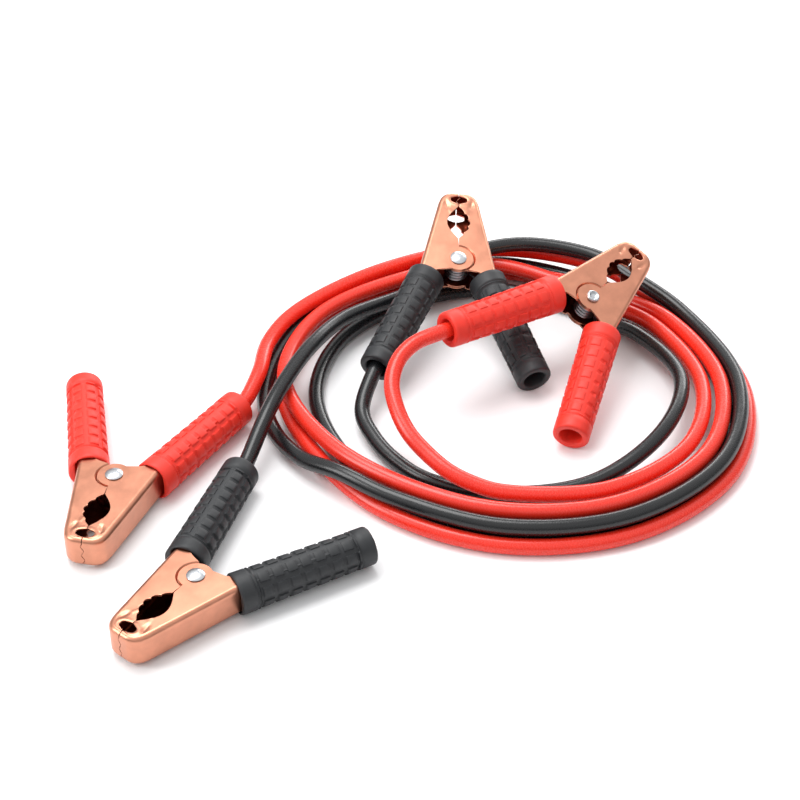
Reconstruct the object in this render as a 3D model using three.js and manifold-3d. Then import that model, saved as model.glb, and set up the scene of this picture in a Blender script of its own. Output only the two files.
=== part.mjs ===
// Car jumper cable set: a red lead and a black lead lying in one loose coil, with a spring clamp at each end.
// Lengths in millimetres, z up, floor at z = 0.

import * as THREE from "three";
import Module from "manifold-3d";

const wasm = await Module();
wasm.setup();

// Clamp frame: pivot at the origin, x towards the nose, z along the rivet.

const CLEARANCE = 0.3;

// Stamped jaws
const JAW_THICKNESS = 20;
const SHEET = 1.2;
const BEND_RADIUS = 3;
const NOSE_LENGTH = 59.7;
const NOSE_HALF_FLAT = 6;
const SHOULDER_SETBACK = 9.7;
const SHOULDER_X = NOSE_LENGTH - SHOULDER_SETBACK;
const SHOULDER_Y = 14;
const EYE_REAR = 17.6;
const EYE_HALF_WIDTH = 7.6;
const EYE_SIDES = 10;
const TOOTH_DEPTH = 1.1;
const TOOTH_COUNT = 5;
const NOTCH_RADIUS = 4.4;
const NOTCH_SETBACK = 7.1;
const NOTCH_X = NOSE_LENGTH - NOTCH_SETBACK;
const PINCH_LAND = 1.7;
const EYE_PINCH = NOTCH_X - NOTCH_RADIUS - PINCH_LAND;
const SEAM_GAP = 0.6;
const EAR_RADIUS = 10;

// Handle channel and sleeve
const HANDLE_ANGLE = 21.3;
const MOUTH_X = -10;
const MOUTH_Y = 20;
const TANG_OUTER = 6;
const TANG_INNER = 4;
const TANG_LENGTH = 58;
const CRIMP_LENGTH = 5;
const SLEEVE_LENGTH = 86;
const SLEEVE_MOUTH_RADIUS = 12.6;
const SLEEVE_END_RADIUS = 11.6;
const SLEEVE_BAND = 10;
const SLEEVE_GROOVE = 0.7;
const SLEEVE_BORE_RADIUS = 7.2;
const SLEEVE_EDGE = 0.8;

// Rivet and torsion spring
const RIVET_RADIUS = 3;
const RIVET_HEAD_RADIUS = 5.4;
const RIVET_TAIL_RADIUS = 4.4;
const RIVET_HEAD_HEIGHT = 1.9;
const SPRING_RADIUS = 7;
const SPRING_WIRE_RADIUS = 1;
const SPRING_TURNS = 4;
const SPRING_LEG = 9;

// Cable
const CABLE_RADIUS = 5;
const CABLE_SIDES = 8;
const CABLE_STEP = 30;

const COPPER = "#d99a7c";
const RED = "#ee4b3e";
const BLACK = "#2b2d30";
const ZINC = "#c9ccd0";
const STEEL = "#8d8f93";

// Where each clamp lies: pivot place, then the turn about the vertical, the nose lift and the roll in degrees.
// The cable leaves by the handle on the named side; the rivet's wide head shows on top or below.
const CLAMPS = [
  {
    name: "front_black",
    colour: BLACK,
    at: [-90.9, -145, 12.6],
    yaw: 230,
    lift: 0,
    roll: 0,
    side: -1,
    cableJaw: "inner",
    rivetHead: 1,
  },
  {
    name: "front_red",
    colour: RED,
    at: [-146.9, -58, 12.6],
    yaw: 258,
    lift: 0,
    roll: 0,
    side: 1,
    cableJaw: "outer",
    rivetHead: 1,
  },
  {
    name: "rear_black",
    colour: BLACK,
    at: [62.1, 136, 38.6],
    yaw: 88.5,
    lift: 14.7,
    roll: 5.4,
    side: 1,
    cableJaw: "outer",
    rivetHead: 1,
  },
  {
    name: "rear_red",
    colour: RED,
    at: [145.6, 88, 42.2],
    yaw: 53,
    lift: 5.5,
    roll: 25.5,
    side: 1,
    cableJaw: "inner",
    rivetHead: -1,
  },
];

const RAD = Math.PI / 180;

function toSolid(geometry) {
  const plain = geometry.clone();
  plain.deleteAttribute("normal");
  plain.deleteAttribute("uv");
  const merged = mergeByPlace(plain);
  return new wasm.Manifold(new wasm.Mesh({
    numProp: 3,
    vertProperties: merged.positions,
    triVerts: merged.triangles,
  }));
}

function mergeByPlace(geometry) {
  const source = geometry.attributes.position;
  const order = geometry.index;
  const count = order ? order.count : source.count;
  const known = new Map();
  const positions = [];
  const corners = [];
  for (let i = 0; i < count; i += 1) {
    const k = order ? order.getX(i) : i;
    const x = source.getX(k);
    const y = source.getY(k);
    const z = source.getZ(k);
    const key = `${Math.round(x * 1e4)},${Math.round(y * 1e4)},${Math.round(z * 1e4)}`;
    if (!known.has(key)) {
      known.set(key, positions.length / 3);
      positions.push(x, y, z);
    }
    corners.push(known.get(key));
  }
  const triangles = [];
  for (let i = 0; i < corners.length; i += 3) {
    const [a, b, c] = corners.slice(i, i + 3);
    if (a !== b && b !== c && c !== a) {
      triangles.push(a, b, c);
    }
  }
  return { positions: new Float32Array(positions), triangles: new Uint32Array(triangles) };
}

function toMesh(solid, name, colour, roughness, metalness) {
  const mesh = solid.getMesh();
  const geometry = new THREE.BufferGeometry();
  geometry.setAttribute("position", new THREE.BufferAttribute(new Float32Array(mesh.vertProperties), 3));
  geometry.setIndex(new THREE.BufferAttribute(new Uint32Array(mesh.triVerts), 1));
  geometry.computeVertexNormals();
  const result = new THREE.Mesh(geometry, new THREE.MeshStandardMaterial({ color: colour, roughness, metalness }));
  result.name = name;
  return result;
}

function outline(points) {
  return new THREE.Shape(points.map(([x, y]) => new THREE.Vector2(x, y)));
}

function prism(points, low, high) {
  const geometry = new THREE.ExtrudeGeometry(outline(points), { depth: high - low, bevelEnabled: false });
  geometry.translate(0, 0, low);
  return toSolid(geometry);
}

// A block with its long edges rounded, grown or shrunk by an offset of its outline.
function roundedBlock(points, thickness, bend, offset) {
  const geometry = new THREE.ExtrudeGeometry(outline(points), {
    depth: thickness - 2 * bend,
    bevelEnabled: true,
    bevelThickness: bend,
    bevelSize: bend,
    bevelOffset: offset - bend,
    bevelSegments: 2,
  });
  geometry.translate(0, 0, bend - thickness / 2);
  return toSolid(geometry);
}

function disc(radius, low, high, sides = 24) {
  const geometry = new THREE.CylinderGeometry(radius, radius, high - low, sides);
  geometry.rotateX(Math.PI / 2);
  geometry.translate(0, 0, (low + high) / 2);
  return toSolid(geometry);
}

// Directions of the handle that lies on the +y side: along the sleeve, and across it away from the other handle.
const along = [-Math.cos(HANDLE_ANGLE * RAD), Math.sin(HANDLE_ANGLE * RAD)];
const across = [Math.sin(HANDLE_ANGLE * RAD), Math.cos(HANDLE_ANGLE * RAD)];

function onHandle(distance, sideways) {
  return [
    MOUTH_X + along[0] * distance + across[0] * sideways,
    MOUTH_Y + along[1] * distance + across[1] * sideways,
  ];
}

// Outer edge of the stamping, carried on past every open side.
function blankOutline() {
  return [
    [NOSE_LENGTH, -12],
    [NOSE_LENGTH, 0],
    [NOSE_LENGTH - 0.2, NOSE_HALF_FLAT],
    [NOSE_LENGTH - 1.7, NOSE_HALF_FLAT + 3.5],
    [NOSE_LENGTH - 4.7, NOSE_HALF_FLAT + 6.2],
    [SHOULDER_X, SHOULDER_Y],
    onHandle(0, TANG_OUTER),
    onHandle(TANG_LENGTH + 20, TANG_OUTER),
    onHandle(TANG_LENGTH + 20, -25),
    [-20, -14],
  ];
}

// One half of the eye, from its rear corner to the pinch near the nose: a plain curve.
function smoothEyeEdge(seam) {
  const points = [];
  for (let i = 0; i <= EYE_SIDES; i += 1) {
    const share = i / EYE_SIDES;
    const x = EYE_REAR + (EYE_PINCH - EYE_REAR) * share;
    points.push([x, seam + EYE_HALF_WIDTH * Math.sin(Math.PI * share)]);
  }
  return points;
}

// The same half with teeth cut into it.
function toothedEyeEdge(seam) {
  const points = [[EYE_REAR, seam]];
  const length = EYE_PINCH - EYE_REAR;
  for (let i = 0; i < TOOTH_COUNT; i += 1) {
    const valley = (i + 0.55) / TOOTH_COUNT;
    const tip = (i + 0.95) / TOOTH_COUNT;
    points.push([EYE_REAR + length * valley, seam + EYE_HALF_WIDTH * Math.sin(Math.PI * valley)]);
    if (i < TOOTH_COUNT - 1) {
      const height = EYE_HALF_WIDTH * Math.sin(Math.PI * tip) - TOOTH_DEPTH;
      points.push([EYE_REAR + length * tip, seam + Math.max(height, 0.5)]);
    }
  }
  points.push([EYE_PINCH, seam]);
  return points;
}

function notchEdge(seam) {
  const points = [];
  for (let i = 0; i <= 6; i += 1) {
    const angle = Math.PI * (1 - i / 6);
    points.push([NOTCH_X + NOTCH_RADIUS * Math.cos(angle), seam + NOTCH_RADIUS * Math.sin(angle)]);
  }
  return points;
}

// Plan of one jaw: everything on its own side of the seam, the eye, the pivot rear and the channel mouth.
function jawPlan(eyeEdge) {
  const seam = SEAM_GAP / 2;
  return [
    [NOSE_LENGTH + 2, seam],
    ...notchEdge(seam).reverse(),
    ...eyeEdge(seam).reverse(),
    [0, seam],
    [-EAR_RADIUS * Math.cos(30 * RAD), EAR_RADIUS * Math.sin(30 * RAD)],
    onHandle(0, -TANG_INNER),
    onHandle(TANG_LENGTH, -TANG_INNER),
    onHandle(TANG_LENGTH, TANG_OUTER + 5),
    onHandle(0, TANG_OUTER + 5),
    [NOSE_LENGTH + 2, SHOULDER_Y + 6],
  ];
}

function channel() {
  const outer = roundedBlock(blankOutline(), JAW_THICKNESS, BEND_RADIUS, 0);
  const inner = roundedBlock(blankOutline(), JAW_THICKNESS - 2 * SHEET, BEND_RADIUS - SHEET, -SHEET);
  return outer.subtract(inner);
}

// Last stretch of the channel, pinched shut on the bared end of the cable.
function crimpedEnd() {
  const block = roundedBlock(blankOutline(), JAW_THICKNESS, BEND_RADIUS, 0);
  const stretch = prism([
    onHandle(TANG_LENGTH - CRIMP_LENGTH, -TANG_INNER),
    onHandle(TANG_LENGTH, -TANG_INNER),
    onHandle(TANG_LENGTH, TANG_OUTER + 5),
    onHandle(TANG_LENGTH - CRIMP_LENGTH, TANG_OUTER + 5),
  ], -JAW_THICKNESS, JAW_THICKNESS);
  return block.intersect(stretch);
}

function outerJaw() {
  const half = JAW_THICKNESS / 2;
  const plates = channel().intersect(prism(jawPlan(smoothEyeEdge), -half - 1, half + 1));
  const top = disc(EAR_RADIUS, half - SHEET, half);
  const bottom = disc(EAR_RADIUS, -half, -half + SHEET);
  return plates.add(top).add(bottom);
}

function innerJaw() {
  const half = JAW_THICKNESS / 2;
  const reach = EAR_RADIUS + CLEARANCE + 0.2;
  const plan = prism(jawPlan(toothedEyeEdge), -half - 1, half + 1);
  const plates = channel().intersect(plan).subtract(disc(reach, -half - 1, half + 1));
  const earTop = half - SHEET - CLEARANCE;
  const ear = disc(EAR_RADIUS, earTop - SHEET, earTop).add(disc(EAR_RADIUS, -earTop, -earTop + SHEET));
  const wide = disc(reach + SHEET, -half, half).intersect(plan);
  const floor = wide.intersect(disc(reach + SHEET, earTop - SHEET, half))
    .add(wide.intersect(disc(reach + SHEET, -half, -earTop + SHEET)));
  const step = floor.subtract(disc(reach, earTop, half)).subtract(disc(reach, -half, -earTop));
  return plates.add(step).add(ear);
}

function jaw(kind, holdsCable) {
  let body = kind === "outer" ? outerJaw() : innerJaw();
  if (holdsCable) {
    body = body.add(crimpedEnd());
  }
  return body.subtract(disc(RIVET_RADIUS + CLEARANCE, -JAW_THICKNESS, JAW_THICKNESS, 16));
}

function sleeveProfile() {
  const slope = (SLEEVE_MOUTH_RADIUS - SLEEVE_END_RADIUS) / SLEEVE_LENGTH;
  const skin = (distance) => SLEEVE_MOUTH_RADIUS - slope * distance;
  const groove = (distance) => [
    [skin(distance), distance - 0.9],
    [skin(distance) - SLEEVE_GROOVE, distance - 0.5],
    [skin(distance) - SLEEVE_GROOVE, distance + 0.5],
    [skin(distance), distance + 0.9],
  ];
  return [
    [0, 0],
    [skin(0) - SLEEVE_EDGE, 0],
    [skin(SLEEVE_EDGE), SLEEVE_EDGE],
    ...groove(SLEEVE_BAND),
    ...groove(SLEEVE_LENGTH - SLEEVE_BAND),
    [skin(SLEEVE_LENGTH - SLEEVE_EDGE), SLEEVE_LENGTH - SLEEVE_EDGE],
    [skin(SLEEVE_LENGTH) - SLEEVE_EDGE, SLEEVE_LENGTH],
    [0, SLEEVE_LENGTH],
  ];
}

// Section of the pocket for the channel: rounded on the bent side, square on the open side.
function pocketSection() {
  const reach = TANG_OUTER + CLEARANCE;
  const half = JAW_THICKNESS / 2 + CLEARANCE;
  const bend = BEND_RADIUS + CLEARANCE;
  const points = [[-TANG_INNER - CLEARANCE, -half]];
  for (const [sy, start] of [[-1, -90], [1, 0]]) {
    for (let i = 0; i <= 3; i += 1) {
      const angle = (start + i * 30) * RAD;
      points.push([reach - bend + bend * Math.cos(angle), sy * (half - bend) + bend * Math.sin(angle)]);
    }
  }
  points.push([-TANG_INNER - CLEARANCE, half]);
  return points;
}

// Soft grip sleeve: the channel fits its first stretch, and its far end stands open.
function sleeve() {
  const profile = sleeveProfile().map(([r, h]) => new THREE.Vector2(r, h));
  const body = new THREE.LatheGeometry(profile, 20);
  body.rotateX(Math.PI / 2);
  const pocket = prism(pocketSection(), -1, TANG_LENGTH + CLEARANCE);
  const bore = disc(SLEEVE_BORE_RADIUS, TANG_LENGTH, SLEEVE_LENGTH + 1, 16);
  const hollow = toSolid(body).subtract(pocket).subtract(bore);
  return hollow.transform(handleMatrix());
}

// Carries a shape built along z onto the handle of the +y side.
function handleMatrix() {
  const [mx, my] = onHandle(0, 0);
  return [
    across[0], across[1], 0, 0,
    0, 0, -1, 0,
    along[0], along[1], 0, 0,
    mx, my, 0, 1,
  ];
}

function rivet() {
  const half = JAW_THICKNESS / 2;
  const seat = half + CLEARANCE;
  const head = (radius) => [
    [radius, seat],
    [radius, seat + 0.6],
    [radius * 0.82, seat + RIVET_HEAD_HEIGHT * 0.8],
    [radius * 0.45, seat + RIVET_HEAD_HEIGHT],
    [0, seat + RIVET_HEAD_HEIGHT],
  ];
  const tail = head(RIVET_TAIL_RADIUS).map(([r, h]) => [r, -h]).reverse();
  const profile = [...tail, [RIVET_RADIUS, -seat], [RIVET_RADIUS, seat], ...head(RIVET_HEAD_RADIUS)];
  const geometry = new THREE.LatheGeometry(profile.map(([r, h]) => new THREE.Vector2(r, h)), 16);
  geometry.rotateX(Math.PI / 2);
  return toSolid(geometry);
}

// Torsion spring round the rivet, with one straight leg in each handle channel.
class SpringPath extends THREE.Curve {
  constructor() {
    super();
    const half = JAW_THICKNESS / 2 - 2 * SHEET - 2 * CLEARANCE - SPRING_WIRE_RADIUS - 0.4;
    const rest = TANG_OUTER - SHEET - CLEARANCE - SPRING_WIRE_RADIUS;
    const [ex, ey] = onHandle(SPRING_LEG, rest);
    const far = Math.hypot(ex, ey);
    const lean = Math.atan2(ey, ex) - Math.acos(SPRING_RADIUS / far);
    this.half = half;
    this.start = lean;
    this.sweep = 2 * Math.PI * SPRING_TURNS + 2 * lean;
    this.end = [ex, ey];
    this.leg = Math.hypot(ex - SPRING_RADIUS * Math.cos(lean), ey - SPRING_RADIUS * Math.sin(lean));
    this.coil = Math.abs(this.sweep) * SPRING_RADIUS;
    this.total = this.coil + 2 * this.leg;
  }

  getPoint(t, target = new THREE.Vector3()) {
    const walked = t * this.total;
    const first = [SPRING_RADIUS * Math.cos(this.start), SPRING_RADIUS * Math.sin(this.start)];
    if (walked < this.leg) {
      const share = walked / this.leg;
      return target.set(
        this.end[0] + (first[0] - this.end[0]) * share,
        this.end[1] + (first[1] - this.end[1]) * share,
        this.half,
      );
    }
    if (walked > this.total - this.leg) {
      const share = (this.total - walked) / this.leg;
      return target.set(
        this.end[0] + (first[0] - this.end[0]) * share,
        -(this.end[1] + (first[1] - this.end[1]) * share),
        -this.half,
      );
    }
    const share = (walked - this.leg) / this.coil;
    const angle = this.start - this.sweep * share;
    return target.set(
      SPRING_RADIUS * Math.cos(angle),
      SPRING_RADIUS * Math.sin(angle),
      this.half * (1 - 2 * share),
    );
  }
}

function roundSection(radius, sides) {
  const points = [];
  for (let i = 0; i < sides; i += 1) {
    const angle = (2 * Math.PI * i) / sides;
    points.push([radius * Math.cos(angle), radius * Math.sin(angle)]);
  }
  return outline(points);
}

function spring() {
  const path = new SpringPath();
  const geometry = new THREE.ExtrudeGeometry(roundSection(SPRING_WIRE_RADIUS, 5), {
    steps: 50,
    bevelEnabled: false,
    extrudePath: path,
  });
  return toSolid(geometry);
}

function clampMatrix(clamp) {
  const turn = new THREE.Matrix4().makeRotationZ(clamp.yaw * RAD);
  turn.multiply(new THREE.Matrix4().makeRotationY(-clamp.lift * RAD));
  turn.multiply(new THREE.Matrix4().makeRotationX(clamp.roll * RAD));
  return new THREE.Matrix4().makeTranslation(...clamp.at).multiply(turn);
}

function cableEnds(clamp) {
  const matrix = clampMatrix(clamp);
  return [TANG_LENGTH + CLEARANCE, SLEEVE_LENGTH - 8, SLEEVE_LENGTH + 6].map((distance) => {
    const [x, y] = onHandle(distance, 0);
    return new THREE.Vector3(x, y * clamp.side, 0).applyMatrix4(matrix);
  });
}

function buildClamp(clamp) {
  const place = clampMatrix(clamp).toArray();
  const opposite = clamp.cableJaw === "outer" ? "inner" : "outer";
  const put = (solid, side) => (side > 0 ? solid : solid.rotate([180, 0, 0])).transform(place);
  const metal = (solid, part, side) => toMesh(put(solid, side), `${clamp.name}_${part}`, COPPER, 0.35, 0.9);
  const grip = (part, side) => toMesh(put(sleeve(), side), `${clamp.name}_${part}`, clamp.colour, 0.6, 0);
  return [
    metal(jaw(clamp.cableJaw, true), "cable_jaw", clamp.side),
    metal(jaw(opposite, false), "free_jaw", -clamp.side),
    grip("cable_sleeve", clamp.side),
    grip("free_sleeve", -clamp.side),
    toMesh(put(rivet(), clamp.rivetHead), `${clamp.name}_rivet`, ZINC, 0.3, 1),
    toMesh(put(spring(), 1), `${clamp.name}_spring`, STEEL, 0.35, 1),
  ];
}

const RED_ROUTE = [
  [-67, 49, 15.8], [-62, 84, 16], [-44, 119, 16], [15, 168, 16], [86, 191, 16.5], [161, 174, 14.5],
  [191, 149, 10], [219, 120, 5.5], [246, 44, 5.5], [227, -37, 5.5], [164, -91, 5.5],
  [86, -102, 5.5], [18, -74, 5.5], [-27, -21, 5.5], [-51, 44, 5.5], [-33, 112, 5.5], [21, 157, 5.5],
  [86, 178, 6], [151, 157, 9.3], [178, 136, 12], [203, 111, 14.5], [229, 44, 15.3],
  [212, -29, 15.5], [154, -75, 15.5], [86, -82, 15.5], [26, -59, 15.8], [-21, -18, 15.6],
  [-50, 44, 15.8], [-31, 112, 15.8], [23, 154, 15.9], [86, 172, 16.4], [146, 147, 13.3],
  [169, 127, 13.5], [193, 106, 13], [217, 44, 14], [201, -22, 15], [148, -63, 15.5],
  [86, -67, 16.5], [68, -62, 18.7], [53, -54, 21.8], [40, -42, 26], [29, -29, 31.5], [22, -14, 38],
  [19, 2, 44.5], [23, 18, 50.6], [33, 30, 54.6],
];
const BLACK_ROUTE = [
  [-58, 0, 24], [-47, 32, 27], [-33, 65, 27], [-12, 102, 22], [29, 136, 17], [53, 152, 21],
  [75, 170, 27.5], [110, 181, 27.5], [158, 170, 25], [187, 145, 21], [213, 117, 16],
  [240, 44, 15.5], [222, -34, 15.3], [161, -86, 15.3], [86, -96, 15.3], [20, -71, 15.8],
  [-13, -48, 16.2], [-37, -27, 9.5], [-56, 6, 5.5], [-63, 44, 5.5], [-43, 118, 5.5], [15, 167, 5.5],
  [86, 190, 5.5], [156, 166, 5.5], [184, 142, 5.5], [208, 114, 5.5], [233, 44, 5.5],
  [217, -32, 5.5], [158, -81, 5.5], [86, -91, 5.5], [25, -62, 5.5], [-14, -14, 5.5], [-30, 44, 5.5],
  [-14, 102, 5.5], [30, 142, 5.5], [86, 158, 5.5], [140, 138, 5.5], [162, 120, 6.2], [182, 100, 10],
  [204, 44, 16.5], [185, -13, 17], [140, -49, 8.5], [86, -56, 5.5], [42, -44, 5.5], [22, -26, 5.5],
  [8, -5, 7], [0, 18, 10],
];

function cable(route, first, last) {
  const points = [
    ...cableEnds(first),
    ...route.map(([x, y, z]) => new THREE.Vector3(x, y, z)),
    ...cableEnds(last).reverse(),
  ];
  const path = new THREE.CatmullRomCurve3(points, false, "centripetal");
  const steps = Math.round(path.getLength() / CABLE_STEP);
  const geometry = new THREE.ExtrudeGeometry(roundSection(CABLE_RADIUS, CABLE_SIDES), {
    steps,
    bevelEnabled: false,
    extrudePath: path,
  });
  return toSolid(geometry);
}

const group = new THREE.Group();
group.name = "car_jumper_cable";
for (const clamp of CLAMPS) {
  group.add(...buildClamp(clamp));
}
group.add(toMesh(cable(RED_ROUTE, CLAMPS[1], CLAMPS[3]), "red_cable", RED, 0.5, 0));
group.add(toMesh(cable(BLACK_ROUTE, CLAMPS[0], CLAMPS[2]), "black_cable", BLACK, 0.5, 0));

export default group;
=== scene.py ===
"""Car jumper cable: the dressed model of a red and a black lead with their four spring clamps."""

import math

import bmesh
import bpy
import numpy as np
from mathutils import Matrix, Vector
from mathutils.geometry import delaunay_2d_cdt


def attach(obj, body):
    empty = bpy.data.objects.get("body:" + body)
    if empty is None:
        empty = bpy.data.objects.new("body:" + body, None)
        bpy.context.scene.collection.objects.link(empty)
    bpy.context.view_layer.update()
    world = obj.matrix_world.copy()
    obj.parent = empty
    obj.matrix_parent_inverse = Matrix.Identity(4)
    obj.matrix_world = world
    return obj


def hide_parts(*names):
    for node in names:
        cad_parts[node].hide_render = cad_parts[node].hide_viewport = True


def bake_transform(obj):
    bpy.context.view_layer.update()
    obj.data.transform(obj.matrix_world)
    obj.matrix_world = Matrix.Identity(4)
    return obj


bl_info = {
    "name": "Car Jumper Cable",
    "version": (1, 0, 0),
    "blender": (4, 5, 0),
    "location": "3D View > Sidebar > Jumper Cable",
    "description": "Builds a coiled jumper cable set with its spring clamps",
    "category": "Object",
}

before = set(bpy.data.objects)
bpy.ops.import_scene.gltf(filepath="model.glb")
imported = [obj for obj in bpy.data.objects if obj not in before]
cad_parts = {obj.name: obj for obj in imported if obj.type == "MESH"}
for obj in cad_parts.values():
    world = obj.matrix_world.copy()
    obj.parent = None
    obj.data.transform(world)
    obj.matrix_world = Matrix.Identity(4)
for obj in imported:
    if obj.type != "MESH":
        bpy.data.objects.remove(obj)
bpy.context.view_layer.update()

# Lengths below are in millimetres, as on the clamp's drawing, and MM turns them to metres.
MM = 0.001

JAW_THICKNESS = 20.0
SHEET = 1.2
BEND_RADIUS = 3.0
CLEARANCE = 0.3
NOSE_OUTLINE = ((59.7, 0.3), (59.7, 3.0), (59.5, 6.0), (58.0, 9.5), (55.0, 12.2), (50.0, 14.0))
EYE_REAR = 17.6
EYE_PINCH = 46.5
EYE_HALF_WIDTH = 7.6
TOOTH_COUNT = 5
TOOTH_DEPTH = 1.3
NOTCH_X = 52.6
NOTCH_LENGTH = 3.6
NOTCH_WIDTH = 5.6
SEAM = 0.3
EAR_RADIUS = 10.0
HANDLE_ANGLE = math.radians(21.3)
MOUTH_X = -10.0
MOUTH_Y = 20.0
TANG_OUTER = 6.0
TANG_INNER = 4.0
TANG_LENGTH = 58.0

SLEEVE_LENGTH = 86.0
SLEEVE_MOUTH_RADIUS = 12.6
SLEEVE_END_RADIUS = 11.6
SLEEVE_BAND = 10.0
SLEEVE_BORE_RADIUS = 7.2
PAD_ROWS = 7
PAD_COLUMNS = 8

RIVET_RADIUS = 3.0
RIVET_HEAD_RADIUS = 5.4
RIVET_TAIL_RADIUS = 4.4
RIVET_HEAD_HEIGHT = 1.9

SPRING_RADIUS = 7.0
SPRING_WIRE_RADIUS = 1.0
SPRING_TURNS = 4
SPRING_LEG = 9.0

CABLE_RADIUS = 5.0

# Each clamp's pivot, turn about the vertical, nose lift and roll, the side of its cable handle,
# the kind of jaw on the cable and the way its rivet points.
CLAMPS = {
    "front_black": ((-90.9, -145.0, 12.6), 230.0, 0.0, 0.0, -1, "inner", 1),
    "front_red": ((-146.9, -58.0, 12.6), 258.0, 0.0, 0.0, 1, "outer", 1),
    "rear_black": ((62.1, 136.0, 38.6), 88.5, 14.7, 5.4, 1, "outer", 1),
    "rear_red": ((145.6, 88.0, 42.2), 53.0, 5.5, 25.5, 1, "inner", -1),
}

RED_ROUTE = (
    (-67, 49, 15.8), (-62, 84, 16), (-44, 119, 16), (15, 168, 16), (86, 191, 16.5),
    (161, 174, 14.5), (191, 149, 10), (219, 120, 5.5), (246, 44, 5.5), (227, -37, 5.5),
    (164, -91, 5.5), (86, -102, 5.5), (18, -74, 5.5), (-27, -21, 5.5), (-51, 44, 5.5),
    (-33, 112, 5.5), (21, 157, 5.5), (86, 178, 6), (151, 157, 9.3), (178, 136, 12),
    (203, 111, 14.5), (229, 44, 15.3), (212, -29, 15.5), (154, -75, 15.5), (86, -82, 15.5),
    (26, -59, 15.8), (-21, -18, 15.6), (-50, 44, 15.8), (-31, 112, 15.8), (23, 154, 15.9),
    (86, 172, 16.4), (146, 147, 13.3), (169, 127, 13.5), (193, 106, 13), (217, 44, 14),
    (201, -22, 15), (148, -63, 15.5), (86, -67, 16.5), (68, -62, 18.7), (53, -54, 21.8),
    (40, -42, 26), (29, -29, 31.5), (22, -14, 38), (19, 2, 44.5), (23, 18, 50.6), (33, 30, 54.6),
)
BLACK_ROUTE = (
    (-58, 0, 24), (-47, 32, 27), (-33, 65, 27), (-12, 102, 22), (29, 136, 17), (53, 152, 21),
    (75, 170, 27.5), (110, 181, 27.5), (158, 170, 25), (187, 145, 21), (213, 117, 16),
    (240, 44, 15.5), (222, -34, 15.3), (161, -86, 15.3), (86, -96, 15.3), (20, -71, 15.8),
    (-13, -48, 16.2), (-37, -27, 9.5), (-56, 6, 5.5), (-63, 44, 5.5), (-43, 118, 5.5),
    (15, 167, 5.5), (86, 190, 5.5), (156, 166, 5.5), (184, 142, 5.5), (208, 114, 5.5),
    (233, 44, 5.5), (217, -32, 5.5), (158, -81, 5.5), (86, -91, 5.5), (25, -62, 5.5),
    (-14, -14, 5.5), (-30, 44, 5.5), (-14, 102, 5.5), (30, 142, 5.5), (86, 158, 5.5),
    (140, 138, 5.5), (162, 120, 6.2), (182, 100, 10), (204, 44, 16.5), (185, -13, 17),
    (140, -49, 8.5), (86, -56, 5.5), (42, -44, 5.5), (22, -26, 5.5), (8, -5, 7), (0, 18, 10),
)

# The view of the photograph: a long lens from the front, looking down on the coil.
VIEW_TARGET = (24.0, 42.0, 0.0)
VIEW_DISTANCE = 1250.0
VIEW_ELEVATION = math.radians(38.5)
VIEW_LENS = 87.15


def linear(code):
    """An sRGB hex colour as linear red, green, blue and full alpha."""
    channels = [int(code[i : i + 2], 16) / 255 for i in (1, 3, 5)]
    parts = [c / 12.92 if c <= 0.04045 else ((c + 0.055) / 1.055) ** 2.4 for c in channels]
    return (*parts, 1.0)


class JumperCableSettings(bpy.types.PropertyGroup):
    """Sizes of the two leads."""

    diameter: bpy.props.FloatProperty(
        name="Cable diameter",
        description="Outer diameter of each lead's jacket",
        default=2 * CABLE_RADIUS * MM,
        unit="LENGTH",
        subtype="DISTANCE",
    )
    sides: bpy.props.IntProperty(
        name="Cable sides",
        description="Faces round the jacket",
        default=20,
    )


class JumperClampSettings(bpy.types.PropertyGroup):
    """Sizes of the stamped clamps and their grip sleeves."""

    sheet: bpy.props.FloatProperty(
        name="Sheet thickness",
        description="Thickness of the jaws' steel sheet",
        default=SHEET * MM,
        unit="LENGTH",
        subtype="DISTANCE",
    )
    edge: bpy.props.FloatProperty(
        name="Deburred edge",
        description="Rounding left on the cut edges of the jaws",
        default=0.2 * MM,
        unit="LENGTH",
        subtype="DISTANCE",
    )
    pad_relief: bpy.props.FloatProperty(
        name="Pad relief",
        description="Depth of the channels between the sleeves' grip pads",
        default=1.35 * MM,
        unit="LENGTH",
        subtype="DISTANCE",
    )


class JumperColourSettings(bpy.types.PropertyGroup):
    """Colours of the finishes."""

    red: bpy.props.FloatVectorProperty(
        name="Red PVC",
        description="Colour of the positive lead and its sleeves",
        default=linear("#E8301F"),
        size=4,
        subtype="COLOR",
    )
    black: bpy.props.FloatVectorProperty(
        name="Black PVC",
        description="Colour of the negative lead and its sleeves",
        default=linear("#202225"),
        size=4,
        subtype="COLOR",
    )
    copper: bpy.props.FloatVectorProperty(
        name="Copper plating",
        description="Colour of the plated jaws",
        default=linear("#D8957A"),
        size=4,
        subtype="COLOR",
    )


def rotation(clamp):
    """The clamp's turn as a 3 by 3 matrix: lift and roll first, then the turn about the vertical."""
    yaw, lift, roll = (math.radians(a) for a in CLAMPS[clamp][1:4])
    about_z = np.array([[math.cos(yaw), -math.sin(yaw), 0], [math.sin(yaw), math.cos(yaw), 0], [0, 0, 1]])
    about_y = np.array([[math.cos(lift), 0, -math.sin(lift)], [0, 1, 0], [math.sin(lift), 0, math.cos(lift)]])
    about_x = np.array([[1, 0, 0], [0, math.cos(roll), -math.sin(roll)], [0, math.sin(roll), math.cos(roll)]])
    return about_z @ about_y @ about_x


def place(points, clamp, side=1):
    """Points of the clamp's drawing, in millimetres, as points of the whole object, in metres."""
    moved = np.array(points, float).reshape(-1, 3)
    if side < 0:
        moved = moved * (1, -1, -1)
    return (moved @ rotation(clamp).T + np.array(CLAMPS[clamp][0])) * MM


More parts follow.
